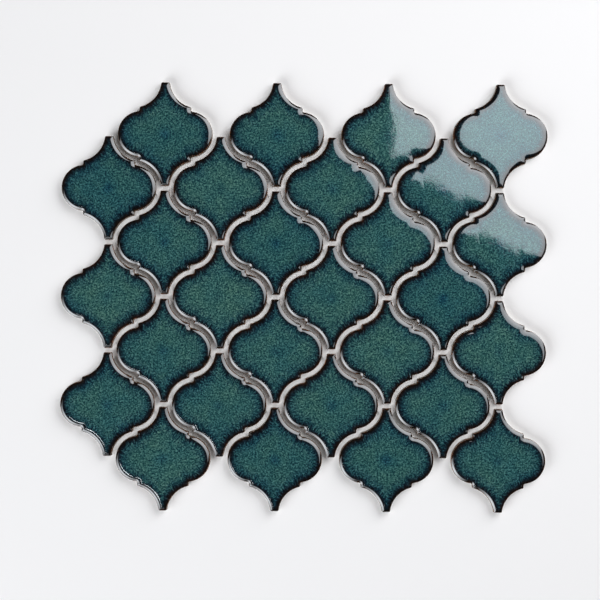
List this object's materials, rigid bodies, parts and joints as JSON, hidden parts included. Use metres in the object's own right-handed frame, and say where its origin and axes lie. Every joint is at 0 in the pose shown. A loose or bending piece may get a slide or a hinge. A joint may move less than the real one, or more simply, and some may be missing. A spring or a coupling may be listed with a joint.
{
  "type": "moroccan arabesque mosaic tile sheet",
  "caption": "Sheet of lantern-shaped glazed tiles in staggered rows with open joints, held at their tips by plastic dots.",
  "frame": {"origin": "middle of the sheet, on the plane of the tile backs", "axes": "+X along the rows of tiles, +Y up the sheet as the picture shows it, +Z out of the glazed face"},
  "size_m": [0.281, 0.2478, 0.0056],
  "materials": {
    "glazed_tile": "glossy teal reactive glaze with fine flecks and a dark rim, on a pale unglazed clay body",
    "joint_plastic": "plain white, slightly soft plastic"
  },
  "bodies": {
    "root": {"tile_r1_1": "glazed_tile", "tile_r1_2": "glazed_tile", "tile_r1_3": "glazed_tile", "tile_r1_4": "glazed_tile", "tile_r2_1": "glazed_tile", "tile_r2_2": "glazed_tile", "tile_r2_3": "glazed_tile", "tile_r2_4": "glazed_tile", "tile_r3_1": "glazed_tile", "tile_r3_2": "glazed_tile", "tile_r3_3": "glazed_tile", "tile_r3_4": "glazed_tile", "tile_r4_1": "glazed_tile", "tile_r4_2": "glazed_tile", "tile_r4_3": "glazed_tile", "tile_r4_4": "glazed_tile", "tile_r5_1": "glazed_tile", "tile_r5_2": "glazed_tile", "tile_r5_3": "glazed_tile", "tile_r5_4": "glazed_tile", "tile_r6_1": "glazed_tile", "tile_r6_2": "glazed_tile", "tile_r6_3": "glazed_tile", "tile_r6_4": "glazed_tile", "tile_r7_1": "glazed_tile", "tile_r7_2": "glazed_tile", "tile_r7_3": "glazed_tile", "tile_r7_4": "glazed_tile", "joint_dot_r2_1": "joint_plastic", "joint_dot_r2_2": "joint_plastic", "joint_dot_r2_3": "joint_plastic", "joint_dot_r2_4": "joint_plastic", "joint_dot_r3_1": "joint_plastic", "joint_dot_r3_2": "joint_plastic", "joint_dot_r3_3": "joint_plastic", "joint_dot_r3_4": "joint_plastic", "joint_dot_r4_1": "joint_plastic", "joint_dot_r4_2": "joint_plastic", "joint_dot_r4_3": "joint_plastic", "joint_dot_r4_4": "joint_plastic", "joint_dot_r5_1": "joint_plastic", "joint_dot_r5_2": "joint_plastic", "joint_dot_r5_3": "joint_plastic", "joint_dot_r5_4": "joint_plastic", "joint_dot_r6_1": "joint_plastic", "joint_dot_r6_2": "joint_plastic", "joint_dot_r6_3": "joint_plastic", "joint_dot_r6_4": "joint_plastic"}
  },
  "joints": []
}
